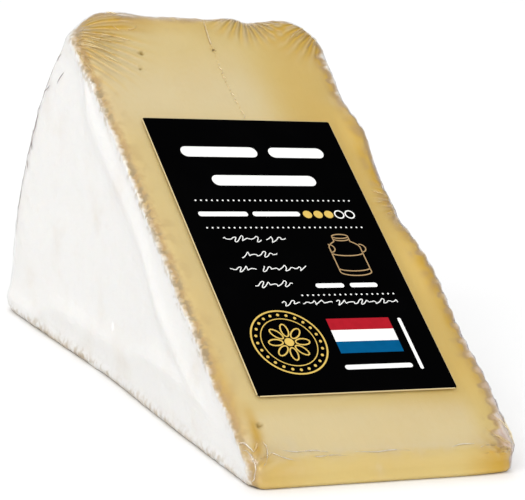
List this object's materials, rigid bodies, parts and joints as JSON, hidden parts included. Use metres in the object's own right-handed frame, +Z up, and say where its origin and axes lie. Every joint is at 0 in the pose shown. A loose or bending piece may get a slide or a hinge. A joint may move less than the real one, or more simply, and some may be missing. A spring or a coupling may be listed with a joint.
{
  "type": "wrapped wedge of goat brie",
  "caption": "Wedge cut from a wheel of goat brie, with white rind on its flat sides and rim, sealed in tight clear film with a flat dark label on its sloping cut face.",
  "frame": {"origin": "under the middle of the wedge's bounding box, on the surface it stands on", "axes": "+Z up; +Y from the blunt nose at the wheel's centre to the rim; +X across the wheel's height, from one rind side to the other; the wedge stands on one cut face and the other slopes up towards the rim"},
  "size_m": [0.0485, 0.0986, 0.0569],
  "materials": {
    "cheese_in_film": "straw-coloured cheese seen through tight clear film",
    "cheese": "pale straw paste with a white bloomy rind",
    "clear_film": "thin clear shrink film, glossy, wrinkled at the corners",
    "label_paper": "black coated label, satin",
    "label_print": "white, gold and coloured print"
  },
  "bodies": {
    "root": {"wrapped_wedge": "cheese_in_film", "label": "label_paper"}
  },
  "joints": []
}
